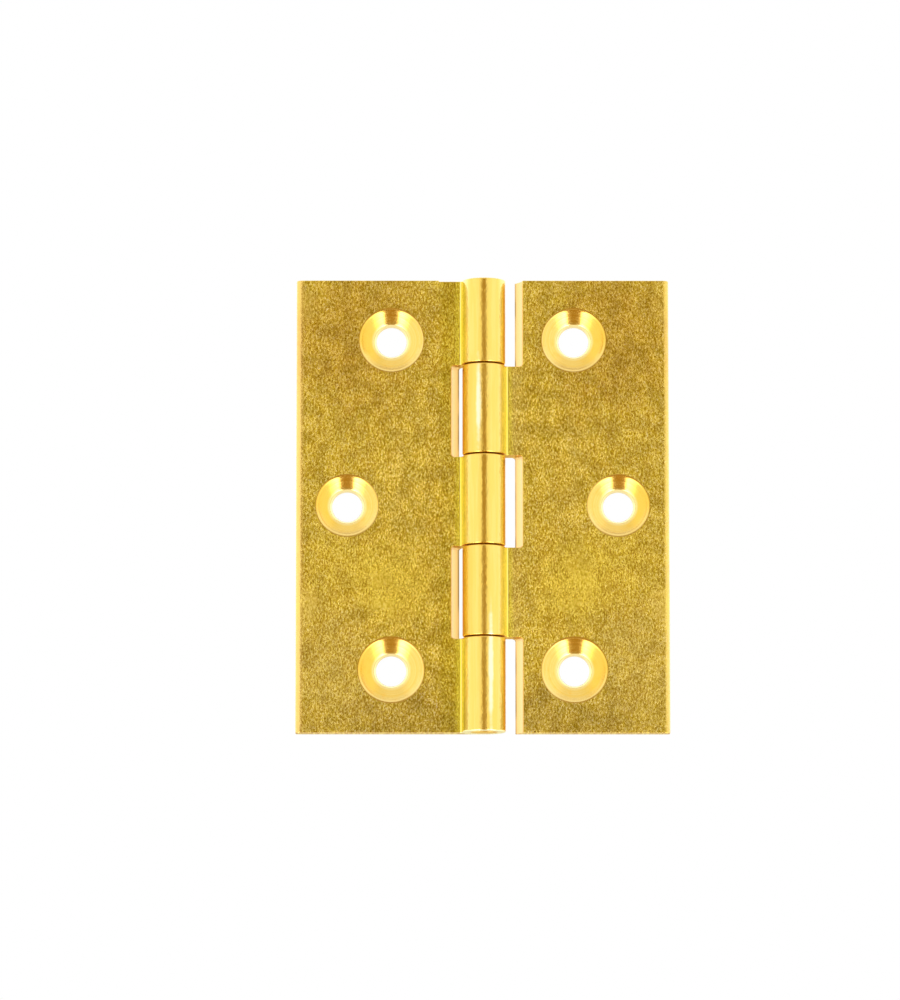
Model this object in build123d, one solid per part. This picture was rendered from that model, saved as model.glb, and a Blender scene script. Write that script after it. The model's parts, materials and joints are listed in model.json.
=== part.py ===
"""Solid-drawn brass butt hinge, opened flat: two leaves on one riveted pin.

Frame, in millimetres: the pin axis is Z, with its origin half way up the leaves. The leaves lie in the XZ
plane with their countersunk faces towards -Y. The fixed leaf reaches to -X and the swing leaf to +X.
"""

import os
from math import asin, atan2, cos, degrees, radians, sin, sqrt, tan

from build123d import *

# Leaves
leaf_height = 63.5
leaf_thickness = 2.5
fixed_leaf_reach = 26.15  # pin axis to free edge
swing_leaf_reach = 25.8
front_edge_radius = 0.76  # rounding along the free edge, countersunk side
back_edge_radius = 0.4

# Barrel: every knuckle has this section, flush with the leaves' back faces
barrel_radius = 3.0
root_fillet_radius = 0.4  # hollow where the barrel meets the countersunk face
knuckle_count = 5
top_knuckle_length = 12.07  # the knuckles between the end ones share the rest of the height
bottom_knuckle_length = 13.2
seam_gap = 0.18  # axial play at each seam
knuckle_edge_break = 0.15
edge_break_margin = 5.0  # degrees of the knuckle's rim left square beside the plate

# Notches: hollow walls clear of the other leaf's knuckles, cut a little in front of the pin axis
fixed_notch_clearance = 1.6
swing_notch_clearance = 2.5
fixed_notch_lead = 0.1  # cutter axis to pin axis, towards the countersunk side
swing_notch_lead = 0.4
notch_corner_radius = 0.4

# Facing cut round the pin on the fixed leaf's top end
spotface_radius = 6.3
spotface_depth = 0.15

# Pin, riveted over at both ends
pin_radius = 1.6
pin_clearance = 0.05
rivet_flare = 0.25  # how much wider than the pin each head is
rivet_head_depth = 0.4
rivet_dome = 0.1
rivet_seat_clearance = 0.02  # left between each head and its seat

# Screw holes: an upper and a lower one near the barrel, a middle one near the free edge
screw_hole_radius = 2.1
countersink_angle = 116.0
upper_countersink_radius = 4.37
middle_countersink_radius = 4.22
lower_countersink_radius = 4.47
rim_break_width = 0.2  # second, flatter bevel round each countersink
rim_break_depth = 0.06
inner_hole_margin = 13.25  # hole centre to free edge
middle_hole_margin = 7.1
upper_hole_margin = 8.45  # hole centre to the leaf's nearer end
lower_hole_margin = 8.75

# Values that follow from the sizes above
leaf_top = leaf_height / 2
leaf_bottom = -leaf_height / 2
back_face = barrel_radius
front_face = back_face - leaf_thickness
barrel_top = leaf_top - spotface_depth
bore_radius = pin_radius + pin_clearance
rivet_head_radius = pin_radius + rivet_flare
root_y = front_face - root_fillet_radius
root_x = sqrt((barrel_radius + root_fillet_radius) ** 2 - root_y**2)
root_angle = degrees(atan2(root_y, root_x))  # where the hollow root leaves the barrel
inner_knuckles = knuckle_count - 2
knuckle_pitch = (leaf_height - top_knuckle_length - bottom_knuckle_length) / inner_knuckles
seams = [leaf_top - top_knuckle_length - i * knuckle_pitch for i in range(inner_knuckles + 1)]
span_edges = [leaf_top, *seams, leaf_bottom]
cutter_overrun = 1.0  # how far a cut runs past the surface that it breaks through


def knuckle_span(index, play):
    """Lower and upper end of a knuckle, made longer at its seams by play, or shorter if that is negative."""
    upper = span_edges[index]
    lower = span_edges[index + 1]
    if index > 0:
        upper += play
    if index < knuckle_count - 1:
        lower -= play
    return lower, upper


def leaf_section(reach):
    """Drawn profile of a leaf to +X: flat back, rounded free edge, flat front, hollow root and barrel."""
    front_bend = (reach - front_edge_radius, front_face + front_edge_radius)
    back_bend = (reach - back_edge_radius, back_face - back_edge_radius)
    outline = [
        Line((0, back_face), (back_bend[0], back_face)),
        CenterArc(back_bend, back_edge_radius, 90, -90),
        Line((reach, back_bend[1]), (reach, front_bend[1])),
        CenterArc(front_bend, front_edge_radius, 0, -90),
        Line((front_bend[0], front_face), (root_x, front_face)),
        CenterArc((root_x, root_y), root_fillet_radius, 90, 90 + root_angle),
        CenterArc((0, 0), barrel_radius, root_angle, -270 - root_angle),
    ]
    return make_face(outline)


def notch_cutter(index, radius, lead):
    """Room for another leaf's knuckle, with a hollow wall round the pin and rounded inner corners."""
    lower, upper = knuckle_span(index, seam_gap / 2)
    if index == 0:
        upper += cutter_overrun
    if index == knuckle_count - 1:
        lower -= cutter_overrun
    cutter = Pos(0, -lead, (lower + upper) / 2) * Cylinder(radius, upper - lower)
    return fillet(cutter.edges().filter_by(GeomType.CIRCLE), notch_corner_radius)


def edge_break_ring(end, inwards):
    """Small bevel round the open side of a knuckle's end, for a leaf to +X."""
    inner = barrel_radius - knuckle_edge_break
    outer = barrel_radius + knuckle_edge_break
    bevel = Polyline(
        (inner, 0, end),
        (outer, 0, end),
        (outer, 0, end + inwards * 2 * knuckle_edge_break),
        close=True,
    )
    open_angle = 270 + root_angle - 2 * edge_break_margin
    ring = revolve(make_face(bevel), Axis.Z, open_angle)
    return Rot(Z=90 + edge_break_margin) * ring


def screw_hole_cutter(x, z, sink_radius):
    """Countersunk clearance hole from the front face through the back, with its rim broken."""
    sink_depth = (sink_radius - screw_hole_radius) / tan(radians(countersink_angle / 2))
    rim_radius = sink_radius + rim_break_width
    through = leaf_thickness + cutter_overrun
    profile = Polyline(
        (0, -cutter_overrun),
        (rim_radius, -cutter_overrun),
        (rim_radius, 0),
        (sink_radius - rim_break_depth * tan(radians(countersink_angle / 2)), rim_break_depth),
        (screw_hole_radius, sink_depth),
        (screw_hole_radius, through),
        (0, through),
        close=True,
    )
    tool = revolve(make_face(profile), Axis.Y, 360)
    return Pos(x, front_face, z) * tool


def leaf(reach, own_knuckles, notch_clearance, notch_lead):
    """One leaf to +X with its own knuckles, notches for the other leaf's, and three screw holes."""
    body = Pos(0, 0, leaf_bottom) * extrude(leaf_section(reach), leaf_height)
    body -= Cylinder(bore_radius, leaf_height + 2 * cutter_overrun)
    for index in range(knuckle_count):
        if index in own_knuckles:
            lower, upper = knuckle_span(index, -seam_gap / 2)
            body -= edge_break_ring(min(upper, barrel_top), -1)
            body -= edge_break_ring(lower, 1)
        else:
            body -= notch_cutter(index, barrel_radius + notch_clearance, notch_lead)
    inner_x = reach - inner_hole_margin
    body -= screw_hole_cutter(inner_x, leaf_top - upper_hole_margin, upper_countersink_radius)
    body -= screw_hole_cutter(reach - middle_hole_margin, 0, middle_countersink_radius)
    body -= screw_hole_cutter(inner_x, leaf_bottom + lower_hole_margin, lower_countersink_radius)
    return body


def rivet_seat(end, outwards):
    """Tapered mouth of the pin bore, widening towards the knuckle's end face."""
    foot = pin_radius + rivet_seat_clearance
    mouth = rivet_head_radius + rivet_seat_clearance
    cone = Cone(foot, mouth, rivet_head_depth, align=(Align.CENTER, Align.CENTER, Align.MAX))
    if outwards < 0:
        cone = Rot(X=180) * cone
    return Pos(0, 0, end) * cone


def facing_cutter():
    """Shallow flat cut round the pin on the top end."""
    height = spotface_depth + cutter_overrun
    return Pos(0, 0, barrel_top + height / 2) * Cylinder(spotface_radius, height)


def fixed_leaf():
    """Leaf to -X with the end and middle knuckles, faced on top and opened for both rivet heads."""
    body = leaf(fixed_leaf_reach, range(0, knuckle_count, 2), fixed_notch_clearance, fixed_notch_lead)
    body = mirror(body, Plane.YZ)
    body -= facing_cutter()
    body -= rivet_seat(barrel_top, 1)
    body -= rivet_seat(leaf_bottom, -1)
    return body


def swing_leaf():
    """Leaf to +X, whose knuckles turn on the pin between the fixed leaf's."""
    return leaf(swing_leaf_reach, range(1, knuckle_count, 2), swing_notch_clearance, swing_notch_lead)


def dome_arc(end, outwards):
    """Half of a rivet head's shallow dome, from the pin axis out to its rim on the knuckle's end face."""
    radius = (rivet_head_radius**2 + rivet_dome**2) / (2 * rivet_dome)
    half_angle = asin(rivet_head_radius / radius) / 2
    centre = end + outwards * (rivet_dome - radius)
    middle = (radius * sin(half_angle), centre + outwards * radius * cos(half_angle))
    return ThreePointArc((0, end + outwards * rivet_dome), middle, (rivet_head_radius, end))


def hinge_pin():
    """Plain wire pin with both ends hammered into their seats and left slightly domed."""
    upper_foot = barrel_top - rivet_head_depth
    lower_foot = leaf_bottom + rivet_head_depth
    profile = [
        Line((0, leaf_bottom - rivet_dome), (0, barrel_top + rivet_dome)),
        dome_arc(barrel_top, 1),
        Line((rivet_head_radius, barrel_top), (pin_radius, upper_foot)),
        Line((pin_radius, upper_foot), (pin_radius, lower_foot)),
        Line((pin_radius, lower_foot), (rivet_head_radius, leaf_bottom)),
        dome_arc(leaf_bottom, -1),
    ]
    return revolve(Plane.XZ * make_face(profile), Axis.Z, 360)


os.makedirs("parts", exist_ok=True)
for make_piece in (fixed_leaf, swing_leaf, hinge_pin):
    piece = make_piece()
    name = make_piece.__name__
    print(name, len(piece.solids()), "solid,", round(piece.volume, 1), "mm3")
    export_step(piece, f"parts/{name}.step")
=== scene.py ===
# %% [markdown]
# # A solid-drawn brass butt hinge, opened flat
# The real hinge is three pieces: a leaf with three knuckles, a leaf with two, and one wire pin riveted
# through them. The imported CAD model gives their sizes, places and joint. This lesson dresses them: it
# makes each piece again as a finer mesh with softened edges, and gives every surface the marks of the
# tool that made it.

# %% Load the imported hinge
import json
import math

import bmesh
import bpy
from mathutils import Matrix, Vector


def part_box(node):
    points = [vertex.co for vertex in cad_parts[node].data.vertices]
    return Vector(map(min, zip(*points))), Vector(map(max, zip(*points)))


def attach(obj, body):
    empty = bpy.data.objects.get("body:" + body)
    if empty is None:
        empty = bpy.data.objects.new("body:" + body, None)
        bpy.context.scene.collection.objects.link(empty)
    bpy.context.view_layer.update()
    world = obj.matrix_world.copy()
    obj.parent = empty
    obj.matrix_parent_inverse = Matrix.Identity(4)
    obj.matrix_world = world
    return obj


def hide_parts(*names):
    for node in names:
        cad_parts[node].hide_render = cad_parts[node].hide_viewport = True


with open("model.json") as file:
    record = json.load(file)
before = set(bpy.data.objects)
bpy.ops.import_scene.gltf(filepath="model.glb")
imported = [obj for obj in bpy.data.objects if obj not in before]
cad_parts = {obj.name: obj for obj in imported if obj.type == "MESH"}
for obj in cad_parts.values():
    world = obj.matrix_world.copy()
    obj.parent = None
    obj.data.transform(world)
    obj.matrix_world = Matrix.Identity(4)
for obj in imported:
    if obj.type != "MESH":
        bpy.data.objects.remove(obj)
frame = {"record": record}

MM = 0.001
scene = bpy.context.scene
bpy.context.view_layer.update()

# %% [markdown]
# ## Sizes
# A finer mesh that stands for a CAD piece has to keep its size. Overall sizes and hole places are
# therefore read from the frame and its record. What those don't say is written again where it is needed:
# the small radii of the drawn section, the seams between the knuckles and the pin. The pin axis is Z, and
# the countersunk faces look towards -Y.

# %% Read the sizes from the frame
LEAVES = ("fixed_leaf", "swing_leaf")
HOLE_ROWS = ("upper", "middle", "lower")
mounts = {mount["name"]: mount for mount in frame["record"]["mounts"]}

leaf_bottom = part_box("swing_leaf")[0].z
leaf_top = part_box("swing_leaf")[1].z
barrel_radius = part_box("swing_leaf")[1].y
reach = {"fixed_leaf": -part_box("fixed_leaf")[0].x, "swing_leaf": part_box("swing_leaf")[1].x}
side = {"fixed_leaf": -1, "swing_leaf": 1}
hole_radius = mounts["swing_leaf_middle_screw"]["dims"]["r_mm"] * MM
holes = {
    leaf: {row: Vector(mounts[f"{leaf}_{row}_screw"]["pos_m"]) for row in HOLE_ROWS}
    for leaf in LEAVES
}

leaf_thickness = 2.5 * MM
back_face = barrel_radius
front_face = back_face - leaf_thickness
print("leaf height", round((leaf_top - leaf_bottom) / MM, 2), "mm")
print("reach in mm", {leaf: round(length / MM, 2) for leaf, length in reach.items()})

# %% [markdown]
# ## Camera
# The hinge was seen square on from a little below, through a long lens from about 0.8 m. Matching the
# seams' curvature and the leaves' keystone gives the height and the distance. The camera is aimed a few
# millimetres beside the pin instead of using lens shift, so that views from other sides stay centred.

# %% Place the camera
CAMERA_AZIMUTH = math.radians(-0.52)
CAMERA_ELEVATION = math.radians(-8.02)
CAMERA_DISTANCE = 807 * MM
CAMERA_LENS = 209.0
NEAREST_SEEN = 0.01
FARTHEST_SEEN = 20
AIM_RIGHT = -4.73 * MM
AIM_UP = 0.68 * MM

camera = bpy.data.objects.new("camera", bpy.data.cameras.new("camera"))
scene.collection.objects.link(camera)
towards_camera = Vector((
    math.sin(CAMERA_AZIMUTH) * math.cos(CAMERA_ELEVATION),
    -math.cos(CAMERA_AZIMUTH) * math.cos(CAMERA_ELEVATION),
    math.sin(CAMERA_ELEVATION),
))
camera.location = towards_camera * CAMERA_DISTANCE
square_on = (-towards_camera).to_track_quat("-Z", "Y")
aim_point = square_on @ Vector((AIM_RIGHT, AIM_UP, 0))
camera.rotation_euler = (aim_point - camera.location).to_track_quat("-Z", "Y").to_euler()
camera.data.lens = CAMERA_LENS
camera.data.clip_start = NEAREST_SEEN
camera.data.clip_end = FARTHEST_SEEN
scene.camera = camera
print("camera at", [round(c / MM) for c in camera.location], "mm")

# %% [markdown]
# ## Node helpers
# Light, brass and the lathe further down are all node trees. Building them in a script means adding a
# node, setting its options and linking its sockets, over and over. A few small functions take that up, so
# that the trees below read like sums.

# %% Node helpers


def add_node(tree, kind, inputs=None, **settings):
    """Adds a node, sets its options, and feeds its inputs with values or with other nodes' outputs."""
    made = tree.nodes.new(kind)
    for name, value in settings.items():
        setattr(made, name, value)
    for name, value in (inputs or {}).items():
        if isinstance(value, bpy.types.NodeSocket):
            tree.links.new(value, made.inputs[name])
        else:
            made.inputs[name].default_value = value
    return made


def math_node(tree, operation, *values):
    """Output of a Math node."""
    return add_node(tree, "ShaderNodeMath", dict(enumerate(values)), operation=operation).outputs[0]


def times(tree, first, *others):
    """All the values multiplied together."""
    for other in others:
        first = math_node(tree, "MULTIPLY", first, other)
    return first


def hypot(tree, first, second):
    """Distance over two steps at right angles to each other."""
    squares = math_node(tree, "ADD", times(tree, first, first), times(tree, second, second))
    return math_node(tree, "SQRT", squares)


def ramp(tree, value, start, end, low, high):
    """Output that goes smoothly from low to high as value goes from start to end, and stays there."""
    sockets = {"Value": value, "From Min": start, "From Max": end, "To Min": low, "To Max": high}
    return add_node(tree, "ShaderNodeMapRange", sockets, interpolation_type="SMOOTHSTEP").outputs[0]


def split(tree, vector):
    """The three parts of a vector."""
    return add_node(tree, "ShaderNodeSeparateXYZ", {0: vector}).outputs


def join(tree, x, y, z):
    """A vector, or a colour, from three parts."""
    return add_node(tree, "ShaderNodeCombineXYZ", {0: x, 1: y, 2: z}).outputs[0]


def stretch(tree, vector, factors):
    """A vector with each part multiplied by its own factor."""
    return add_node(tree, "ShaderNodeVectorMath", {0: vector, 1: factors}, operation="MULTIPLY").outputs[0]


def mix_colour(tree, factor, first, second, blend_type="MIX"):
    """Output of a colour mix."""
    sockets = {0: factor, 6: first, 7: second}
    return add_node(tree, "ShaderNodeMix", sockets, data_type="RGBA", blend_type=blend_type).outputs[2]


print("node helpers ready")

# %% [markdown]
# ## Light
# Brass has hardly any colour but what it reflects, so the studio matters as much as the metal. The hinge
# was lit in a white tent with an unlit slit down the front, where the camera looks in, and brighter cloth
# beside the slit. The flat leaves mirror the slit and look olive, the barrel shows it as one dark line,
# and each countersink as a dark wedge. Cards could make that, but a tent worked out from the ray's
# direction is the same for every part of the hinge. Only reflections see it: to the eye the background is
# plain white, and matt surfaces get a plain even light.

# %% Sizes of the tent
SLIT_COLOUR_FRONT = (0.46, 0.325, 0.12, 1)
SLIT_COLOUR_BELOW = (0.48, 0.305, 0.08, 1)
SLIT_HALF_ANGLE_FRONT = math.radians(12.5)
SLIT_HALF_ANGLE_BELOW = math.radians(17.5)
SLIT_EDGE = math.radians(2.5)
SLIT_TOP = math.radians(26)
SLIT_TOP_END = SLIT_TOP * 1.4
FULLY_BELOW = math.radians(-60)
FRONT_ENDS = (math.radians(-120), math.radians(-100))
FLANK_OUTER_ANGLE = math.radians(48)
FLANK_GAIN_FRONT = 0.16
FLANK_GAIN_BELOW = 3.7
BESIDE_SLIT = (math.radians(20), math.radians(45))
SIDE_GAIN = 0.22
BEHIND = (0.0, 0.6)
HORIZON = (-0.08, 0.06)
BACK_GAIN = 0.3
DIFFUSE_LEVEL = 0.8
WHITE = (1, 1, 1, 1)
print("tent slit", round(2 * math.degrees(SLIT_HALF_ANGLE_FRONT)), "degrees wide")

# %% The tent


def tent_cloth(tree, towards):
    """Colour of the tent in a direction: white cloth, brighter beside and below a dark slit in front."""
    x, y, z = split(tree, towards)
    depth = math_node(tree, "SQRT", math_node(tree, "SUBTRACT", 1.0, times(tree, x, x)))
    sideways = math_node(tree, "ARCTAN2", math_node(tree, "ABSOLUTE", x), depth)
    pitch = math_node(tree, "ARCTAN2", z, times(tree, y, -1.0))
    below = ramp(tree, pitch, 0.0, FULLY_BELOW, 0.0, 1.0)
    under_top = ramp(tree, pitch, SLIT_TOP, SLIT_TOP_END, 1.0, 0.0)
    in_front = times(tree, under_top, ramp(tree, pitch, *FRONT_ENDS, 0.0, 1.0))

    half_angle = ramp(tree, below, 0.0, 1.0, SLIT_HALF_ANGLE_FRONT, SLIT_HALF_ANGLE_BELOW)
    past_edge = math_node(tree, "SUBTRACT", sideways, half_angle)
    in_slit = times(tree, ramp(tree, past_edge, -SLIT_EDGE, SLIT_EDGE, 1.0, 0.0), in_front)

    flank = ramp(tree, sideways, SLIT_HALF_ANGLE_BELOW, FLANK_OUTER_ANGLE, 1.0, 0.0)
    gain = ramp(tree, below, 0.0, 1.0, FLANK_GAIN_FRONT, FLANK_GAIN_BELOW)
    flank = times(tree, flank, gain, in_front)
    beside = ramp(tree, sideways, *BESIDE_SLIT, 1.0, 1.0 + SIDE_GAIN)
    behind = times(tree, ramp(tree, y, *BEHIND, 0.0, BACK_GAIN), ramp(tree, z, *HORIZON, 0.0, 1.0))
    cloth = math_node(tree, "ADD", math_node(tree, "ADD", beside, flank), behind)
    slit_colour = mix_colour(tree, below, SLIT_COLOUR_FRONT, SLIT_COLOUR_BELOW)
    return mix_colour(tree, in_slit, join(tree, cloth, cloth, cloth), slit_colour)


def light_tent(tree):
    """The tent for reflections, plain light for matt surfaces, and plain white for the eye."""
    tree.nodes.clear()
    reflected = tent_cloth(tree, add_node(tree, "ShaderNodeTexCoord").outputs["Generated"])
    path = add_node(tree, "ShaderNodeLightPath").outputs
    mirrored = math_node(tree, "MAXIMUM", path["Is Glossy Ray"], path["Is Transmission Ray"])
    matt = (DIFFUSE_LEVEL, DIFFUSE_LEVEL, DIFFUSE_LEVEL, 1)
    colour = mix_colour(tree, mirrored, matt, reflected)
    colour = mix_colour(tree, path["Is Camera Ray"], colour, WHITE)
    light = add_node(tree, "ShaderNodeBackground", {"Color": colour, "Strength": 1.0})
    add_node(tree, "ShaderNodeOutputWorld", {"Surface": light.outputs[0]})


scene.view_settings.view_transform = "Standard"
scene.world = bpy.data.worlds.new("white_tent")
scene.world.use_nodes = True
light_tent(scene.world.node_tree)
print("tent", len(scene.world.node_tree.nodes), "nodes")

# %% [markdown]
# The floor is a plain white sheet. A hinge is held by its screws and stands on nothing, so the floor lies
# a hand's breadth below it, out of the camera's view, and shows only from higher views. It is kept out of
# the brass's reflections, because there the tent closes under the hinge.

# %% The floor
FLOOR_DROP = 120 * MM
FLOOR_SIZE = 6.0
FLOOR_COLOUR = (0.95, 0.95, 0.95, 1)
FLOOR_ROUGHNESS = 0.9
SHEET_CORNERS = ((-1, -1), (1, -1), (1, 1), (-1, 1))

floor_mesh = bpy.data.meshes.new("floor")
floor_corners = [(i * FLOOR_SIZE / 2, j * FLOOR_SIZE / 2, -FLOOR_DROP) for i, j in SHEET_CORNERS]
floor_mesh.from_pydata(floor_corners, [], [(0, 1, 2, 3)])
floor = bpy.data.objects.new("floor", floor_mesh)
scene.collection.objects.link(floor)
floor.visible_glossy = False
floor_paint = bpy.data.materials.new("floor_paint")
floor_paint.use_nodes = True
floor_shader = floor_paint.node_tree.nodes["Principled BSDF"]
floor_shader.inputs["Base Color"].default_value = FLOOR_COLOUR
floor_shader.inputs["Roughness"].default_value = FLOOR_ROUGHNESS
floor_mesh.materials.append(floor_paint)
print("floor", round(FLOOR_DROP / MM), "mm below the pin's middle")

# %% [markdown]
# ## Brass
# All the metal is one alloy, but each surface was left by another tool, and that is what tells them
# apart: the faces came dull and grainy from the drawing die and the tumbling barrel, the knuckles were
# rubbed brighter, countersinks carry turned rings, notches straight milling lines and the ends saw marks.
# Shared effects are node groups. Each puts out a height for the bump and a mask for colour and roughness,
# and each finish below sets its own sizes on them.

# %% A node group for marks


def mark_group(name, sockets, build):
    """A shader node group with named number inputs, a Vector input, and Height and Mask outputs."""
    group = bpy.data.node_groups.new(name, "ShaderNodeTree")
    group.interface.new_socket("Vector", in_out="INPUT", socket_type="NodeSocketVector")
    for label, value in sockets.items():
        made = group.interface.new_socket(label, in_out="INPUT", socket_type="NodeSocketFloat")
        made.default_value = value
    for label in ("Height", "Mask"):
        group.interface.new_socket(label, in_out="OUTPUT", socket_type="NodeSocketFloat")
    entry = group.nodes.new("NodeGroupInput")
    height, mask = build(group, entry.outputs)
    add_node(group, "NodeGroupOutput", {"Height": height, "Mask": mask})
    print("marks:", name, len(group.nodes), "nodes")
    return group


def noise(tree, vector, scale, detail=2.0, roughness=0.5, distortion=0.0, **settings):
    """Value output of a noise texture."""
    sockets = {"Vector": vector, "Scale": scale, "Detail": detail, "Roughness": roughness,
               "Distortion": distortion}
    return add_node(tree, "ShaderNodeTexNoise", sockets, **settings).outputs[0]


# %% [markdown]
# Tumbling leaves dents and short curled ridges. One noise gives the dents. The ridges are the thin lines
# where another noise crosses its middle value, broken up by a third, so that none runs on for long.

# %% Tumbled grain
GRAIN_STRETCH = (1, 1, 0.68)
CURL_SCALE = 0.7
CURL_WIDTH = 0.14
RIDGE_HEIGHT = 0.18
WORN_SCALE = 0.16


def build_grain(tree, entry):
    """Shallow dents crossed by short curled ridges, a little taller than wide, as tumbling leaves them."""
    tall = stretch(tree, entry["Vector"], GRAIN_STRETCH)
    scale = math_node(tree, "DIVIDE", 1.0, entry["Size"])
    dents = noise(tree, tall, scale, detail=3.0, roughness=0.6, distortion=0.7)
    curls = noise(tree, tall, times(tree, scale, CURL_SCALE), detail=1.0, noise_dimensions="4D")
    curls = math_node(tree, "ABSOLUTE", math_node(tree, "SUBTRACT", times(tree, curls, 2.0), 1.0))
    breaks = ramp(tree, noise(tree, tall, scale, detail=0.0), 0.45, 0.56, 0.0, 1.0)
    ridge = times(tree, ramp(tree, curls, 0.0, CURL_WIDTH, 1.0, 0.0), breaks)
    relief = math_node(tree, "ADD", dents, times(tree, ridge, RIDGE_HEIGHT))
    worn = ramp(tree, noise(tree, tall, times(tree, scale, WORN_SCALE)), 0.35, 0.65, 0.75, 1.1)
    mask = math_node(tree, "MAXIMUM", ramp(tree, dents, 0.35, 0.65, 0.0, 0.8), ridge)
    return times(tree, relief, worn), mask


GRAIN = mark_group("tumbled_grain", {"Size": 0.4 * MM}, build_grain)

# %% [markdown]
# The other marks are simpler. Noise stretched along the pin gives the lines of the drawing die, noise
# over the distance from a hole's axis gives turned rings, and a distance with noise added gives a spot
# with a ragged edge.

# %% Streaks, rings and spots
RAGGED_SCALE = 600.0


def build_streaks(tree, entry):
    """Long fine lines along Z, as the drawing die leaves them."""
    along = stretch(tree, entry["Vector"], join(tree, 1.0, 1.0, entry["Shortening"]))
    scale = math_node(tree, "DIVIDE", 1.0, entry["Spacing"])
    lines = noise(tree, along, scale, detail=3.0, roughness=0.6)
    return lines, ramp(tree, lines, 0.4, 0.65, 0.0, 1.0)


def build_rings(tree, entry):
    """Turned rings: the vector's X is the distance from the hole's axis."""
    turns = math_node(tree, "DIVIDE", split(tree, entry["Vector"])[0], entry["Pitch"])
    sockets = {"W": turns, "Scale": 1.0, "Detail": 3.0, "Roughness": 0.6}
    rings = add_node(tree, "ShaderNodeTexNoise", sockets, noise_dimensions="1D").outputs[0]
    return rings, ramp(tree, rings, 0.4, 0.62, 0.0, 1.0)


def build_spot(tree, entry):
    """One soft spot with a ragged edge, at a distance across X and a height along Z."""
    x, _, z = split(tree, entry["Vector"])
    across = math_node(tree, "DIVIDE", math_node(tree, "SUBTRACT", x, entry["Across"]), entry["Wide"])
    along = math_node(tree, "DIVIDE", math_node(tree, "SUBTRACT", z, entry["Along"]), entry["Tall"])
    ragged = noise(tree, entry["Vector"], RAGGED_SCALE, detail=3.0, roughness=0.6)
    away = math_node(tree, "ADD", hypot(tree, across, along), math_node(tree, "SUBTRACT", ragged, 0.5))
    spot = ramp(tree, away, 0.3, 1.2, 1.0, 0.0)
    return spot, spot


STREAKS = mark_group("drawing_streaks", {"Spacing": 0.3 * MM, "Shortening": 0.02}, build_streaks)
RINGS = mark_group("turned_rings", {"Pitch": 0.2 * MM}, build_rings)
SPOT_SIZES = {"Across": 0.0, "Along": 0.0, "Wide": 1 * MM, "Tall": 1 * MM}
SPOT = mark_group("soft_spot", SPOT_SIZES, build_spot)

# %% [markdown]
# The colours are brass in several states: fresh and pale where it was cut or rubbed, deeper yellow where
# it was left alone, and brown where it has tarnished. Some also serve as painted light: highlights, glints,
# reflections, a glow and shade laid into the colour. A film is a colour that the brass under it is seen
# through.

# %% Colours
BRIGHT = (0.97, 0.66, 0.13, 1)
PALE = (0.98, 0.78, 0.26, 1)
BURNISH_AND_HIGHLIGHT = (1.0, 0.93, 0.60, 1)
YELLOW = (0.97, 0.79, 0.08, 1)
FACE = (0.88, 0.65, 0.125, 1)
PIT = (0.64, 0.44, 0.022, 1)
SHADOW = (0.28, 0.16, 0.03, 1)
TAN = (0.72, 0.47, 0.18, 1)
HONEY = (0.94, 0.69, 0.26, 1)
CLEAR = (1.0, 0.93, 0.40, 1)
WALL = (0.88, 0.56, 0.20, 1)
TURNED = (0.93, 0.60, 0.11, 1)
TURNED_PALE = (0.95, 0.68, 0.20, 1)
SCUFF_AND_HIGHLIGHT = (0.97, 0.80, 0.36, 1)
PAINTED_WARM_REFLECTION = (0.98, 0.74, 0.09, 1)
SANDY = (0.80, 0.61, 0.20, 1)
PAINTED_EDGE_HIGHLIGHT = (0.99, 0.73, 0.15, 1)
DULL = (0.90, 0.57, 0.07, 1)
ORANGE = (0.96, 0.63, 0.09, 1)
BROWN = (0.62, 0.35, 0.06, 1)
AMBER = (0.95, 0.52, 0.05, 1)
GREENISH = (0.90, 0.76, 0.06, 1)
PEACH = (0.93, 0.63, 0.24, 1)
RUBBED_EDGE = (0.97, 0.67, 0.20, 1)
OLIVE_FILM = (0.86, 0.86, 0.50, 1)
BROWN_FILM = (0.87, 0.79, 0.78, 1)
SLATE_FILM = (0.81, 0.80, 0.98, 1)
print("face brass", FACE[:3])

# %% [markdown]
# A finish is one material: a Principled shader, fully metallic, fed with a colour, a roughness and a
# bump. The bump takes real depths, so that a scratch of a few thousandths of a millimetre stays one.

# %% Helpers for finishes
FINISH = {}


def keep_finish(make):
    """Makes a finish and keeps it under its maker's name."""
    FINISH[make.__name__] = make()
    print("finish:", make.__name__, len(FINISH[make.__name__].node_tree.nodes), "nodes")


def finish_tree(name):
    """A new brass finish: its node tree, its shader and its object coordinates."""
    finish = bpy.data.materials.new(name)
    finish.use_nodes = True
    tree = finish.node_tree
    shader = tree.nodes["Principled BSDF"]
    shader.inputs["Metallic"].default_value = 1.0
    place = add_node(tree, "ShaderNodeTexCoord").outputs["Object"]
    return finish, tree, shader, place


def marks(tree, group, place, **sizes):
    """A group of marks placed in a finish: its height and its mask."""
    made = add_node(tree, "ShaderNodeGroup", node_tree=group)
    tree.links.new(place, made.inputs["Vector"])
    for name, value in sizes.items():
        made.inputs[name].default_value = value
    return made.outputs["Height"], made.outputs["Mask"]


def spot_mask(tree, place, across, along, wide, tall):
    """Mask of one soft spot, from its place and half sizes in millimetres."""
    sizes = {"Across": across * MM, "Along": along * MM, "Wide": wide * MM, "Tall": tall * MM}
    return marks(tree, SPOT, place, **sizes)[1]


def stored(tree, name):
    """A vector that is stored on the mesh's points, and its three parts."""
    vector = add_node(tree, "ShaderNodeAttribute", attribute_name=name).outputs["Vector"]
    return vector, split(tree, vector)


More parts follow.
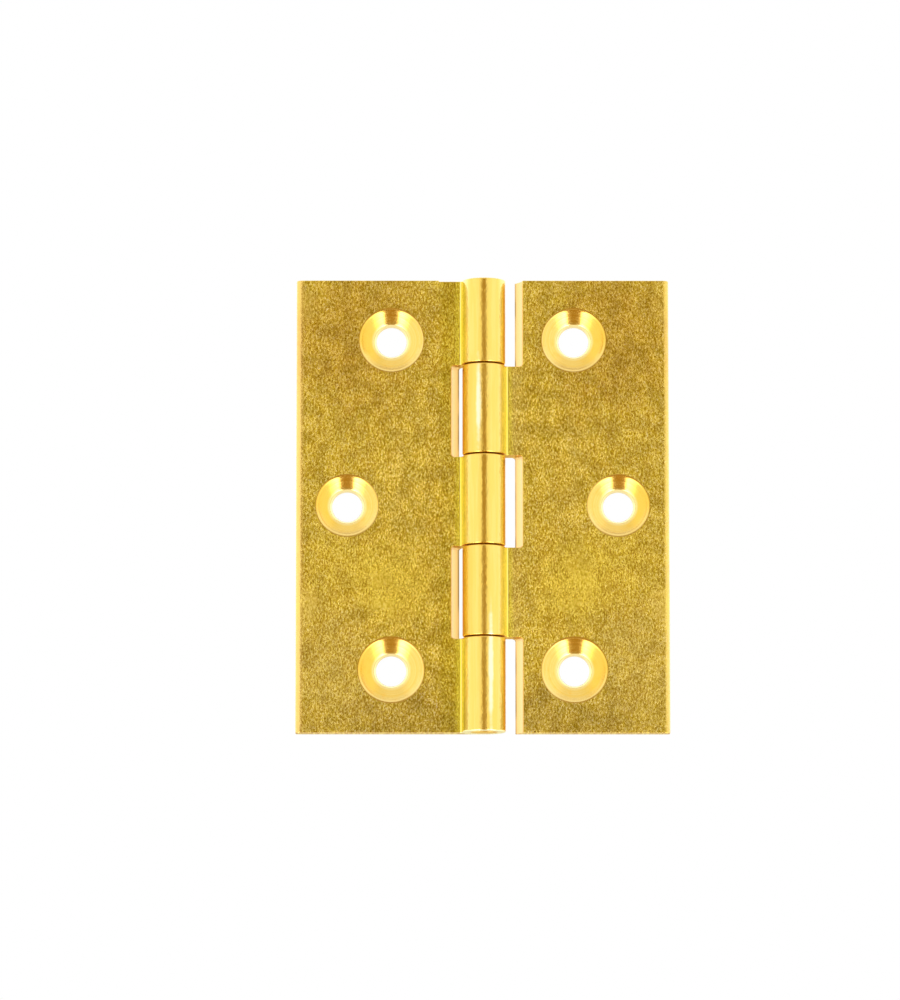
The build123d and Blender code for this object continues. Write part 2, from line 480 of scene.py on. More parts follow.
def bump(tree, height, depth, below=None):
    """Normal output for a height of that real depth, over another normal if there is one."""
    sockets = {"Height": height, "Strength": 1.0, "Distance": depth}
    if below is not None:
        sockets["Normal"] = below
    return add_node(tree, "ShaderNodeBump", sockets).outputs[0]


def connect(tree, shader, **outputs):
    """Feeds the shader's named sockets."""
    for name, output in outputs.items():
        tree.links.new(output, shader.inputs[name.replace("_", " ")])


# %% [markdown]
# ### Faces
# The flat faces show tumbled grain: dark in the dents, pale on the ridges, a contrast that is partly
# painted shade and painted glints. Over it lie soft spots, listed by their distance from the pin and their
# height in millimetres, because both leaves carry the same ones, as if they had lain folded face to face.
# Some are stains and films, some are painted reflections of warm light, and two are painted highlights
# where the free edges curve. Spots reach the raised grain more than the dents. Only the front has them,
# so each mask is also cut off by depth.

# %% Stains and strips on the faces
FACE_STAINS_AND_PAINTED_LIGHT = (  # across, along, half width, half height, colour, strength, added roughness
    # The first two spots are painted reflections of warm light on the faces.
    (12.4, -11.0, 6.5, 7.0, PAINTED_WARM_REFLECTION, 0.65, 0.03),
    (19.0, -8.5, 7.0, 7.0, PAINTED_WARM_REFLECTION, 0.3, 0.0),
    (12.3, 4.0, 0.9, 10.0, PALE, 0.12, 0.01),
    # These two spots are painted highlights where the free edges curve.
    (24.8, 28.2, 2.0, 3.2, PAINTED_EDGE_HIGHLIGHT, 0.5, 0.05),
    (24.8, -13.8, 2.0, 3.2, PAINTED_EDGE_HIGHLIGHT, 0.7, 0.05),
    (21.0, -22.0, 7.5, 10.0, SANDY, 0.3, 0.0),
)
FACE_FILMS = (  # across, along, half width, half height, film
    (18.0, 24.0, 11.0, 13.0, BROWN_FILM),
    (10.0, -31.0, 14.0, 8.0, SLATE_FILM),
)
FRONT_TO_BACK = (1.2 * MM, 2.0 * MM)
RUBBED_STRIP = (24.9 * MM, 25.7 * MM)
PALE_STRIP = (3.8 * MM, 6.0 * MM)
GREENISH_STRIP = (3.5 * MM, 4.3 * MM)
OLIVE_STRIP_STARTS = (-6.6 * MM, -5.6 * MM)
OLIVE_STRIP_ENDS = (-4.1 * MM, -3.3 * MM)
OLIVE_TOWARDS_ENDS = (4.0 * MM, 22.0 * MM)
BEHIND_BARREL = (0.0, 4.0 * MM)
print(len(FACE_STAINS_AND_PAINTED_LIGHT), "stains and", len(FACE_FILMS), "films on each face")

# %% Finish of the faces
FACE_GRAIN_SIZE = 0.27 * MM
FACE_GRAIN_DEPTH = 0.065 * MM
FACE_LINE_SPACING = 0.5 * MM
FACE_LINE_DEPTH = 0.01 * MM
CLOUD_SCALE = 260.0
PATCHY_SCALE = 420.0


def face_ground(tree, place, flecks, on_front):
    """Colour of the bare grain, a little patchy, its dark dents partly painted shade and its palest flecks
    partly painted glints.
    """
    patchy = ramp(tree, noise(tree, place, PATCHY_SCALE, roughness=0.55), 0.33, 0.67, 0.86, 1.08)
    # Dark dents and pale flecks: the grain's tone, partly painted shade and painted glints.
    colour = mix_colour(tree, ramp(tree, flecks, 0.0, 0.8, 0.0, 1.0), PIT, FACE)
    colour = mix_colour(tree, ramp(tree, flecks, 0.8, 1.0, 0.0, 1.0), colour, SCUFF_AND_HIGHLIGHT)
    film = join(tree, patchy, patchy, patchy)
    return mix_colour(tree, ramp(tree, on_front, 0.0, 1.0, 0.5, 1.0), colour, film, "MULTIPLY")


def face_stains_and_painted_light(tree, colour, rough, folded, flecks, on_front):
    """Colour and roughness with the listed stains, films, painted reflections and painted highlights laid
    over them.
    """
    reached = ramp(tree, flecks, 0.0, 0.7, 0.4, 1.0)
    for *size, spot_colour, strength, added in FACE_STAINS_AND_PAINTED_LIGHT:
        spot = times(tree, spot_mask(tree, folded, *size), on_front)
        colour = mix_colour(tree, times(tree, spot, strength, reached), colour, spot_colour)
        rough = math_node(tree, "ADD", rough, times(tree, spot, added))
    for *size, tarnish in FACE_FILMS:
        spot = times(tree, spot_mask(tree, folded, *size), on_front)
        colour = mix_colour(tree, spot, colour, tarnish, "MULTIPLY")
    return colour, rough


def face_beside_barrel(tree, colour, x, z, from_pin, on_front):
    """Colour with the strips along the barrel: olive and greenish in front, tan behind."""
    towards_ends = ramp(tree, math_node(tree, "ABSOLUTE", z), *OLIVE_TOWARDS_ENDS, 0.35, 0.9)
    past_start = ramp(tree, x, *OLIVE_STRIP_STARTS, 0.0, 1.0)
    before_end = ramp(tree, x, *OLIVE_STRIP_ENDS, 1.0, 0.0)
    strip = times(tree, past_start, before_end, on_front, towards_ends)
    colour = mix_colour(tree, strip, colour, OLIVE_FILM, "MULTIPLY")
    near_root = times(tree, ramp(tree, from_pin, *GREENISH_STRIP, 0.6, 0.0), on_front)
    colour = mix_colour(tree, near_root, colour, GREENISH)
    on_back = math_node(tree, "SUBTRACT", 1.0, on_front)
    behind_barrel = times(tree, ramp(tree, from_pin, *BEHIND_BARREL, 0.85, 0.0), on_back)
    return mix_colour(tree, behind_barrel, colour, TAN)


def tumbled_face():
    """Flat faces: dented and grainy all over, with soft stains, painted reflections and painted highlights
    on the countersunk side.
    """
    finish, tree, shader, place = finish_tree("tumbled_face")
    x, y, z = split(tree, place)
    from_pin = math_node(tree, "ABSOLUTE", x)
    folded = join(tree, from_pin, y, z)
    on_front = ramp(tree, y, *FRONT_TO_BACK, 1.0, 0.0)
    grain, flecks = marks(tree, GRAIN, place, Size=FACE_GRAIN_SIZE)
    lines, _ = marks(tree, STREAKS, place, Spacing=FACE_LINE_SPACING, Shortening=0.04)
    colour = face_ground(tree, place, flecks, on_front)
    colour = mix_colour(tree, ramp(tree, from_pin, *RUBBED_STRIP, 0.0, 0.85), colour, RUBBED_EDGE)
    swing_front = times(tree, math_node(tree, "GREATER_THAN", x, 0.0), on_front)
    beside_swing_root = times(tree, ramp(tree, from_pin, *PALE_STRIP, 0.25, 0.0), swing_front)
    colour = mix_colour(tree, beside_swing_root, colour, PALE)
    rough = ramp(tree, noise(tree, place, CLOUD_SCALE, detail=3.0), 0.3, 0.7, 0.21, 0.26)
    colour, rough = face_stains_and_painted_light(tree, colour, rough, folded, flecks, on_front)
    colour = face_beside_barrel(tree, colour, x, z, from_pin, on_front)
    relief = bump(tree, lines, FACE_LINE_DEPTH)
    relief = bump(tree, grain, FACE_GRAIN_DEPTH, relief)
    connect(tree, shader, Base_Color=colour, Roughness=rough, Normal=relief)
    return finish


keep_finish(tumbled_face)

# %% [markdown]
# ### Barrel and root
# The knuckles stand out, so handling has rubbed them bright in front. Two near-white streaks on them are
# painted highlights, a faint darkening down the very front is painted shade where the barrel mirrors the
# slit, and towards the edge that turns away from their own leaf they are painted darker, amber, orange and
# then brown, as shade. The hollow root beside them is out of reach of wear and keeps the clear yellow of
# the drawn metal. A vector stored on the mesh tells each knuckle which side is its open one.

# %% Finishes of the barrel and the root
BARREL_PAINTED_HIGHLIGHTS = ((-0.75, 14.0, 0.42, 6.2), (0.9, -23.0, 0.40, 9.0))  # across, along, half width, half height
BARREL_FRONT_SHADE = (-2.98 * MM, -2.88 * MM)
BARREL_FLANK = (-2.5 * MM, -1.4 * MM)
BARREL_BACK = (0.1 * MM, 0.9 * MM)
BARREL_LINE_SPACING = 0.4 * MM
BARREL_GRAIN_SIZE = 0.5 * MM
BARREL_GRAIN_DEPTH = 0.024 * MM
WAVE_SCALE = 560.0
WAVE_DEPTH = 0.03 * MM
BARREL_LINE_DEPTH = 0.003 * MM
ROOT_LINE_SPACING = 0.2 * MM
ROOT_LINE_DEPTH = 0.002 * MM


def rubbed_barrel():
    """Knuckles: drawn lengthwise, rubbed bright in front and left brown behind, with painted highlights and
    painted shade.
    """
    finish, tree, shader, place = finish_tree("rubbed_barrel")
    lines, line_mask = marks(tree, STREAKS, place, Spacing=BARREL_LINE_SPACING, Shortening=0.05)
    grain, _ = marks(tree, GRAIN, place, Size=BARREL_GRAIN_SIZE)
    colour = mix_colour(tree, ramp(tree, line_mask, 0.0, 1.0, 0.1, 0.4), BRIGHT, PALE)
    # Two near-white streaks on the knuckles are painted highlights.
    for highlight in BARREL_PAINTED_HIGHLIGHTS:
        colour = mix_colour(tree, spot_mask(tree, place, *highlight), colour, BURNISH_AND_HIGHLIGHT)
    x, depth, _ = split(tree, place)
    open_side = stored(tree, "hole_and_barrel_place")[1][2]
    # A faint painted shade down the very front, where the barrel mirrors the dark slit.
    colour = mix_colour(tree, ramp(tree, depth, *BARREL_FRONT_SHADE, 0.3, 0.0), colour, DULL)
    colour = mix_colour(tree, ramp(tree, depth, *BARREL_FLANK, 0.0, 0.8), colour, CLEAR)
    # Towards the open edge the knuckles are painted darker, amber, orange and then brown: painted shade.
    on_swing = math_node(tree, "LESS_THAN", x, 0.0)
    swing_open = times(tree, ramp(tree, open_side, 0.35, 0.80, 0.0, 0.58), on_swing)
    colour = mix_colour(tree, swing_open, colour, AMBER)
    colour = mix_colour(tree, ramp(tree, open_side, 0.68, 0.92, 0.0, 0.3), colour, ORANGE)
    colour = mix_colour(tree, ramp(tree, open_side, 0.90, 0.99, 0.0, 0.4), colour, BROWN)
    colour = mix_colour(tree, ramp(tree, depth, *BARREL_BACK, 0.0, 0.85), colour, TAN)
    rough = ramp(tree, lines, 0.3, 0.7, 0.16, 0.24)
    relief = bump(tree, lines, BARREL_LINE_DEPTH)
    relief = bump(tree, noise(tree, place, WAVE_SCALE), WAVE_DEPTH, relief)
    relief = bump(tree, grain, BARREL_GRAIN_DEPTH, relief)
    connect(tree, shader, Base_Color=colour, Roughness=rough, Normal=relief)
    return finish


def root_hollow():
    """Hollow between barrel and face: out of reach of wear, clear yellow, lined by the die."""
    finish, tree, shader, place = finish_tree("root_hollow")
    lines, line_mask = marks(tree, STREAKS, place, Spacing=ROOT_LINE_SPACING, Shortening=0.02)
    colour = mix_colour(tree, line_mask, YELLOW, PALE)
    rough = ramp(tree, lines, 0.3, 0.7, 0.18, 0.26)
    connect(tree, shader, Base_Color=colour, Roughness=rough, Normal=bump(tree, lines, ROOT_LINE_DEPTH))
    return finish


keep_finish(rubbed_barrel)
keep_finish(root_hollow)

# %% [markdown]
# ### Cuts
# A countersink is turned, so its marks are rings about the hole's axis. Object coordinates know nothing
# of that axis, so the mesh stores each point's distance and side from the nearest hole. A notch is milled
# along the pin, and its wall has straight lines.

# %% Finishes of the countersinks and the notch walls
RING_PITCH = 0.16 * MM
RING_DEPTH = 0.003 * MM
SMUDGE_SCALE = 900.0
FOOT_PAINTED_GLOW = (hole_radius + 0.8 * MM, hole_radius + 0.25 * MM)
LOWER_RIM = (-0.9 * MM, -0.1 * MM)
WALL_LINE_SPACING = 0.22 * MM
WALL_LINE_DEPTH = 0.003 * MM
WALL_SIDES = (-1.0 * MM, 1.0 * MM)
WALL_FRONT = (front_face + 0.4 * MM, front_face + 0.8 * MM)
WALL_BACK = (back_face - 0.4 * MM, back_face - 0.15 * MM)
SHADE_BREAKUP_SCALE = 180.0


def turned_sink():
    """Countersinks: bright cut metal with fine turned rings, a painted glow round the foot, a painted
    highlight on the lower rim and painted shade on the outer side.
    """
    finish, tree, shader, place = finish_tree("turned_sink")
    from_axis, (radius, outwards, _) = stored(tree, "hole_and_barrel_place")
    _, (past_rim, downwards, _) = stored(tree, "rim_place")
    rings, ring_mask = marks(tree, RINGS, from_axis, Pitch=RING_PITCH)
    colour = mix_colour(tree, ring_mask, TURNED, TURNED_PALE)
    # The outer side of each cone is painted duller: painted shade.
    colour = mix_colour(tree, ramp(tree, outwards, 0.0, 1.0, 0.0, 0.8), colour, DULL)
    smudges = ramp(tree, noise(tree, place, SMUDGE_SCALE, detail=3.0), 0.5, 0.72, 0.0, 0.35)
    colour = mix_colour(tree, smudges, colour, AMBER)
    # A pale ring round the foot of the hole is a painted glow from the bright hole.
    colour = mix_colour(tree, ramp(tree, radius, *FOOT_PAINTED_GLOW, 0.0, 0.9), colour, SCUFF_AND_HIGHLIGHT)
    # A pale line along the lower rim is a painted highlight.
    near_rim = ramp(tree, past_rim, *LOWER_RIM, 0.0, 0.4)
    painted_rim_highlight = times(tree, near_rim, ramp(tree, downwards, -0.1, 0.6, 0.0, 1.0))
    colour = mix_colour(tree, painted_rim_highlight, colour, SCUFF_AND_HIGHLIGHT)
    rough = ramp(tree, rings, 0.3, 0.7, 0.15, 0.24)
    connect(tree, shader, Base_Color=colour, Roughness=rough, Normal=bump(tree, rings, RING_DEPTH))
    return finish


def milled_wall():
    """Notch walls: pale fresh-cut metal with straight lines along the pin, and painted shade along the back
    edge.
    """
    finish, tree, shader, place = finish_tree("milled_wall")
    lines, line_mask = marks(tree, STREAKS, place, Spacing=WALL_LINE_SPACING, Shortening=0.01)
    x, depth, _ = split(tree, place)
    colour = mix_colour(tree, times(tree, line_mask, 0.5), WALL, PEACH)
    colour = mix_colour(tree, ramp(tree, x, *WALL_SIDES, 0.33, 0.0), colour, BROWN)
    colour = mix_colour(tree, ramp(tree, depth, *WALL_FRONT, 0.7, 0.0), colour, DULL)
    # A dark line along the back edge is painted shade, broken up by noise so that it varies along the pin.
    shade_breakup = ramp(tree, noise(tree, place, SHADE_BREAKUP_SCALE), 0.35, 0.6, 0.3, 0.9)
    painted_shade_line = times(tree, ramp(tree, depth, *WALL_BACK, 0.0, 1.0), shade_breakup)
    colour = mix_colour(tree, painted_shade_line, colour, SHADOW)
    rough = ramp(tree, lines, 0.3, 0.7, 0.22, 0.32)
    connect(tree, shader, Base_Color=colour, Roughness=rough, Normal=bump(tree, lines, WALL_LINE_DEPTH))
    return finish


keep_finish(turned_sink)
keep_finish(milled_wall)

# %% [markdown]
# ### Ends and pin
# The ends of the leaves were sawn, and so were the shoulders of the notches: dull, scored across their
# thickness. Round the pin they are brighter, filed on the ends and rubbed by the next knuckle in the
# notches. The pin's heads show the hammer's dents.

# %% Finishes of the ends and the pin
SCORE_SPACING = 0.3 * MM
SCORE_DEPTH = 0.01 * MM
END_GRAIN_SIZE = 0.3 * MM
END_GRAIN_DEPTH = 0.01 * MM
FILED_END = (barrel_radius, barrel_radius * 1.2)
RUBBED_SHOULDER = (barrel_radius, barrel_radius * 1.1)
DENT_SCALE = 900.0
DENT_DEPTH = 0.06 * MM
PIN_GRAIN_DEPTH = 0.006 * MM
QUARTER_TURN = math.radians(90)


def scored(tree, place):
    """Saw scores across the thickness with a trace of grain: their relief, and a mask for colour."""
    sockets = {"Vector": place, "Rotation": (QUARTER_TURN, 0, 0)}
    flat = add_node(tree, "ShaderNodeMapping", sockets).outputs[0]
    lines, line_mask = marks(tree, STREAKS, flat, Spacing=SCORE_SPACING, Shortening=0.05)
    grain, _ = marks(tree, GRAIN, place, Size=END_GRAIN_SIZE)
    return bump(tree, grain, END_GRAIN_DEPTH, bump(tree, lines, SCORE_DEPTH)), line_mask


def pin_distance(tree, place):
    """Distance from the pin's axis."""
    x, y, _ = split(tree, place)
    return hypot(tree, x, y)


def notch_shoulder():
    """Upper and lower walls of the notches: scored and tan, rubbed orange where knuckles meet."""
    finish, tree, shader, place = finish_tree("notch_shoulder")
    relief, line_mask = scored(tree, place)
    shader.inputs["Specular Tint"].default_value = HONEY
    colour = mix_colour(tree, line_mask, TAN, HONEY)
    rubbed = ramp(tree, pin_distance(tree, place), *RUBBED_SHOULDER, 1.0, 0.0)
    colour = mix_colour(tree, rubbed, colour, ORANGE)
    rough = ramp(tree, line_mask, 0.0, 1.0, 0.45, 0.35)
    connect(tree, shader, Base_Color=colour, Roughness=rough, Normal=relief)
    return finish


def sawn_end():
    """Sawn ends: dull and tan, but filed pale round the pin."""
    finish, tree, shader, place = finish_tree("sawn_end")
    relief, line_mask = scored(tree, place)
    shader.inputs["Specular Tint"].default_value = BURNISH_AND_HIGHLIGHT
    colour = mix_colour(tree, line_mask, TAN, PALE)
    filed = ramp(tree, pin_distance(tree, place), *FILED_END, 0.9, 0.0)
    colour = mix_colour(tree, filed, colour, BURNISH_AND_HIGHLIGHT)
    rough = ramp(tree, line_mask, 0.0, 1.0, 0.42, 0.32)
    connect(tree, shader, Base_Color=colour, Roughness=rough, Normal=relief)
    return finish


def hammered_wire():
    """Pin: drawn wire, with its heads dented by the hammer, the pale tops of the dents partly painted
    highlights.
    """
    finish, tree, shader, place = finish_tree("hammered_wire")
    dents = noise(tree, place, DENT_SCALE, detail=1.0)
    grain, _ = marks(tree, GRAIN, place, Size=END_GRAIN_SIZE)
    shader.inputs["Specular Tint"].default_value = HONEY
    # Pale where the dents rise: partly the dents' own tone, partly painted highlights.
    colour = mix_colour(tree, ramp(tree, dents, 0.38, 0.62, 0.0, 1.0), TAN, PALE)
    rough = ramp(tree, dents, 0.3, 0.7, 0.22, 0.34)
    relief = bump(tree, dents, DENT_DEPTH)
    relief = bump(tree, grain, PIN_GRAIN_DEPTH, relief)
    connect(tree, shader, Base_Color=colour, Roughness=rough, Normal=relief)
    return finish


keep_finish(notch_shoulder)
keep_finish(sawn_end)
keep_finish(hammered_wire)

# %% [markdown]
# ## A lathe in Geometry Nodes
# The pin, the bores, the countersinks and the rounded notches are all turned shapes: one profile swept
# round an axis. A Screw modifier could do it, but a small node tree keeps the profile's own points and
# closes its seam and poles. It lays out a grid with one row for each profile point and one column for
# each step of the turn, then bends every point of the grid round the axis.

# %% Build the lathe tree
SEAM_WELD = 0.001 * MM


def lathe_sockets(tree):
    """Gives the tree its named inputs and its output, and returns what its input node puts out."""
    tree.interface.new_socket("Geometry", in_out="INPUT", socket_type="NodeSocketGeometry")
    tree.interface.new_socket("Steps", in_out="INPUT", socket_type="NodeSocketInt")
    tree.interface.new_socket("Finish", in_out="INPUT", socket_type="NodeSocketMaterial")
    tree.interface.new_socket("Geometry", in_out="OUTPUT", socket_type="NodeSocketGeometry")
    return tree.nodes.new("NodeGroupInput").outputs


def lathe_tree():
    """Geometry Nodes group that turns a profile (X is the radius, Z the height) about Z."""
    tree = bpy.data.node_groups.new("lathe", "GeometryNodeTree")
    entry = lathe_sockets(tree)
    profile = entry["Geometry"]
    count = add_node(tree, "GeometryNodeAttributeDomainSize", {"Geometry": profile}).outputs["Point Count"]
    columns = math_node(tree, "ADD", entry["Steps"], 1.0)
    grid = add_node(tree, "GeometryNodeMeshGrid", {"Vertices X": count, "Vertices Y": columns}).outputs
    along, round_axis, _ = split(tree, grid["UV Map"])
    row = math_node(tree, "ROUND", times(tree, along, math_node(tree, "SUBTRACT", count, 1.0)))
    position = add_node(tree, "GeometryNodeInputPosition").outputs[0]
    sample = {"Geometry": profile, "Value": position, "Index": row}
    point = add_node(tree, "GeometryNodeSampleIndex", sample, data_type="FLOAT_VECTOR", domain="POINT")
    radius, _, height = split(tree, point.outputs[0])
    turn = times(tree, round_axis, math.tau)
    x = times(tree, radius, math_node(tree, "COSINE", turn))
    y = times(tree, radius, math_node(tree, "SINE", turn))
    bent = {"Geometry": grid["Mesh"], "Position": join(tree, x, y, height)}
    shape = add_node(tree, "GeometryNodeSetPosition", bent).outputs[0]
    weld = {"Geometry": shape, "Distance": SEAM_WELD}
    shape = add_node(tree, "GeometryNodeMergeByDistance", weld).outputs[0]
    shape = add_node(tree, "GeometryNodeRealizeInstances", {"Geometry": shape}).outputs[0]
    finished = {"Geometry": shape, "Material": entry["Finish"]}
    shape = add_node(tree, "GeometryNodeSetMaterial", finished).outputs[0]
    add_node(tree, "NodeGroupOutput", {"Geometry": shape})
    return tree


LATHE = lathe_tree()
LATHE_INPUT = {item.name: item.identifier for item in LATHE.interface.items_tree if item.in_out == "INPUT"}
print("lathe inputs:", list(LATHE_INPUT))

# %% [markdown]
# A profile is a list of points, so a round stretch of it is a list too. The finished shape is taken from
# the evaluated object as a plain mesh, and the modifier goes.

# %% Turn a profile into a mesh
CAP_FACING = 0.7


def arc(centre, radius, start, end, steps):
    """Points along an arc, angles in degrees."""
    angles = [math.radians(start + (end - start) * i / steps) for i in range(steps + 1)]
    return [(centre[0] + radius * math.cos(a), centre[1] + radius * math.sin(a)) for a in angles]


def link_object(name, mesh):
    """A new object in the scene for a mesh."""
    made = bpy.data.objects.new(name, mesh)
    scene.collection.objects.link(made)
    return made


def bake_modifiers(obj):
    """Replaces the object's mesh by what its modifiers make of it, and returns that mesh."""
    depsgraph = bpy.context.evaluated_depsgraph_get()
    mesh = bpy.data.meshes.new_from_object(obj.evaluated_get(depsgraph), depsgraph=depsgraph)
    obj.modifiers.clear()
    obj.data = mesh
    return mesh


def turned(name, profile, finish, steps, place=Matrix.Identity(4), cap_finish=None):
    """A closed turned shape from (radius, height) points, put in place with its normals outwards."""
    line = bpy.data.meshes.new(name)
    line.from_pydata([(r, 0, h) for r, h in profile], [(i, i + 1) for i in range(len(profile) - 1)], [])
    obj = link_object(name, line)
    lathe = obj.modifiers.new("lathe", "NODES")
    lathe.node_group = LATHE
    lathe[LATHE_INPUT["Steps"]] = steps
    lathe[LATHE_INPUT["Finish"]] = FINISH[finish]
    mesh = bake_modifiers(obj)
    if cap_finish:
        mesh.materials.append(FINISH[cap_finish])
        for face in mesh.polygons:
            if abs(face.normal.z) > CAP_FACING:
                face.material_index = len(mesh.materials) - 1
    mesh.transform(place)
    shape = bmesh.new()
    shape.from_mesh(mesh)
    bmesh.ops.recalc_face_normals(shape, faces=shape.faces)
    shape.to_mesh(mesh)
    shape.free()
    mesh.shade_smooth()
    return obj


# %% [markdown]
# ## The leaves
# A leaf starts as one length of drawn section: flat plate, rounded free edge, a hollow root and the
# barrel. The maker then bores it, mills the notches for the other leaf's knuckles and countersinks the
# screw holes. The script follows the same order. The section is extruded, turned tools are taken away
# from it with Boolean modifiers, and each cut keeps the finish of its tool. A Bevel then softens the
# edges that stand out, as tumbling does, because soft edges catch the light.

# %% Knuckles and seams
KNUCKLES = 5
top_knuckle = 12.07 * MM
bottom_knuckle = 13.2 * MM
seam_gap = 0.18 * MM
spotface_depth = 0.15 * MM
overrun = 1.0 * MM  # how far a tool runs past the surface that it breaks through

barrel_top = leaf_top - spotface_depth
pitch = (leaf_top - leaf_bottom - top_knuckle - bottom_knuckle) / (KNUCKLES - 2)
seams = [leaf_top - top_knuckle - i * pitch for i in range(KNUCKLES - 1)]
span_edges = [leaf_top, *seams, leaf_bottom]
own_knuckles = {"fixed_leaf": range(0, KNUCKLES, 2), "swing_leaf": range(1, KNUCKLES, 2)}
print("seams at", [round(z / MM, 2) for z in seams], "mm")

# %% The drawn section
front_edge_radius = 0.76 * MM
back_edge_radius = 0.4 * MM
root_fillet_radius = 0.4 * MM
root_y = front_face - root_fillet_radius
root_x = math.sqrt((barrel_radius + root_fillet_radius) ** 2 - root_y**2)
root_angle = math.degrees(math.atan2(root_y, root_x))
BACK_BEND_STEPS = 8
FRONT_BEND_STEPS = 10
ROOT_STEPS = 10
BARREL_STEPS = 120
print("root leaves the barrel at", round(root_angle, 1), "degrees")


def drawn_section(length):
    """Points of the section for a leaf to +X, each with the finish of the side that follows it."""
    back_bend = (length - back_edge_radius, back_face - back_edge_radius)
    front_bend = (length - front_edge_radius, front_face + front_edge_radius)
    root = arc((root_x, root_y), root_fillet_radius, 90, 180 + root_angle, ROOT_STEPS)
    stretches = [
        ("tumbled_face", [(0, back_face)]),
        ("tumbled_face", arc(back_bend, back_edge_radius, 90, 0, BACK_BEND_STEPS)),
        ("tumbled_face", arc(front_bend, front_edge_radius, 0, -90, FRONT_BEND_STEPS)),
        ("root_hollow", [(root_x, front_face)]),
        ("root_hollow", root[1:-1]),
        ("rubbed_barrel", root[-1:]),
        ("rubbed_barrel", arc((0, 0), barrel_radius, root_angle, -270, BARREL_STEPS)[1:-1]),
    ]
    return [(x, y, finish) for finish, points in stretches for x, y in points]


def drawn_blank(name):
    """One length of drawn section, as a closed prism with sawn ends."""
    shape = bmesh.new()
    section = drawn_section(reach[name])
    slots = list(FINISH)
    ends = (leaf_bottom, leaf_top)
    rings = [[shape.verts.new((side[name] * x, y, z)) for x, y, _ in section] for z in ends]
    for i, (_, _, finish) in enumerate(section):
        j = (i + 1) % len(section)
        wall = shape.faces.new((rings[0][i], rings[0][j], rings[1][j], rings[1][i]))
        wall.material_index = slots.index(finish)
    for ring in rings:
        shape.faces.new(ring).material_index = slots.index("sawn_end")
    bmesh.ops.recalc_face_normals(shape, faces=shape.faces)
    mesh = bpy.data.meshes.new(name)
    shape.to_mesh(mesh)
    shape.free()
    for finish in FINISH.values():
        mesh.materials.append(finish)
    mesh.shade_smooth()
    return link_object(f"{name}_brass", mesh)


# %% [markdown]
# The tools for the barrel are the bore, the notch cutters, the facing cut on the top end, and the tapered
# mouths that the pin's heads fill. A notch cutter stands a little in front of the pin, and its rounded
# rims leave rounded corners.

# %% Tools for the barrel
notch_radius = {"fixed_leaf": barrel_radius + 1.6 * MM, "swing_leaf": barrel_radius + 2.5 * MM}
notch_lead = {"fixed_leaf": 0.1 * MM, "swing_leaf": 0.4 * MM}
notch_corner_radius = 0.4 * MM
NOTCH_STEPS = 192
NOTCH_CORNER_STEPS = 8
spotface_radius = 6.3 * MM
SPOTFACE_STEPS = 128
pin_radius = 1.6 * MM
bore_radius = pin_radius + 0.05 * MM
rivet_head_radius = pin_radius + 0.25 * MM
rivet_head_depth = 0.4 * MM
rivet_seat_gap = 0.02 * MM
PIN_STEPS = 96
print("pin", round(2 * pin_radius / MM, 2), "mm in a bore of", round(2 * bore_radius / MM, 2), "mm")


def notch_tool(name, index):
    """Room for another leaf's knuckle: a cylinder a little in front of the pin, with rounded rims."""
    upper = span_edges[index] + (overrun if index == 0 else seam_gap / 2)
    lower = span_edges[index + 1] - (overrun if index == KNUCKLES - 1 else seam_gap / 2)
    inner = notch_radius[name] - notch_corner_radius
    corner = notch_corner_radius
    profile = [(0, lower)]
    profile += arc((inner, lower + corner), corner, -90, 0, NOTCH_CORNER_STEPS)
    profile += arc((inner, upper - corner), corner, 0, 90, NOTCH_CORNER_STEPS)
    profile += [(0, upper)]
    place = Matrix.Translation((0, -notch_lead[name], 0))
    return turned("notch_tool", profile, "milled_wall", NOTCH_STEPS, place, cap_finish="notch_shoulder")


def bore_tool():
    """The pin's bore through the whole barrel."""
    lower, upper = leaf_bottom - overrun, leaf_top + overrun
    profile = [(0, lower), (bore_radius, lower), (bore_radius, upper), (0, upper)]
    return turned("bore_tool", profile, "milled_wall", PIN_STEPS)


def spotface_tool():
    """The facing cut round the pin on the top end."""
    upper = leaf_top + overrun
    profile = [(0, barrel_top), (spotface_radius, barrel_top), (spotface_radius, upper), (0, upper)]
    return turned("spotface_tool", profile, "sawn_end", SPOTFACE_STEPS)


def rivet_seat_tool(end, outwards):
    """The tapered mouth of the bore that a rivet head fills."""
    slope = (rivet_head_radius - pin_radius) / rivet_head_depth
    foot = pin_radius + rivet_seat_gap
    mouth = rivet_head_radius + rivet_seat_gap + slope * overrun
    inner = end - outwards * rivet_head_depth
    outer = end + outwards * overrun
    profile = [(0, inner), (foot, inner), (mouth, outer), (0, outer)]
    return turned("rivet_seat_tool", profile, "milled_wall", PIN_STEPS)


# %% [markdown]
# A countersink has a small second bevel at its rim and a steep one at its foot. Between them the cone is
# dished a little, as screw heads leave it, by adding a shallow parabola to its depth.

# %% Tool for the screw holes
sink_radius = {"upper": 4.37 * MM, "middle": 4.22 * MM, "lower": 4.47 * MM}
SINK_ANGLE = 116
SINK_SLOPE = math.tan(math.radians(SINK_ANGLE / 2))
rim_break_width = 0.2 * MM
rim_break_depth = 0.06 * MM
sink_dish = 0.12 * MM
foot_break_width = 0.3 * MM
foot_break_depth = 0.7 * MM
SINK_STEPS = 12
SINK_TURN_STEPS = 160
print("countersinks", {row: round(2 * radius / MM, 2) for row, radius in sink_radius.items()}, "mm across")


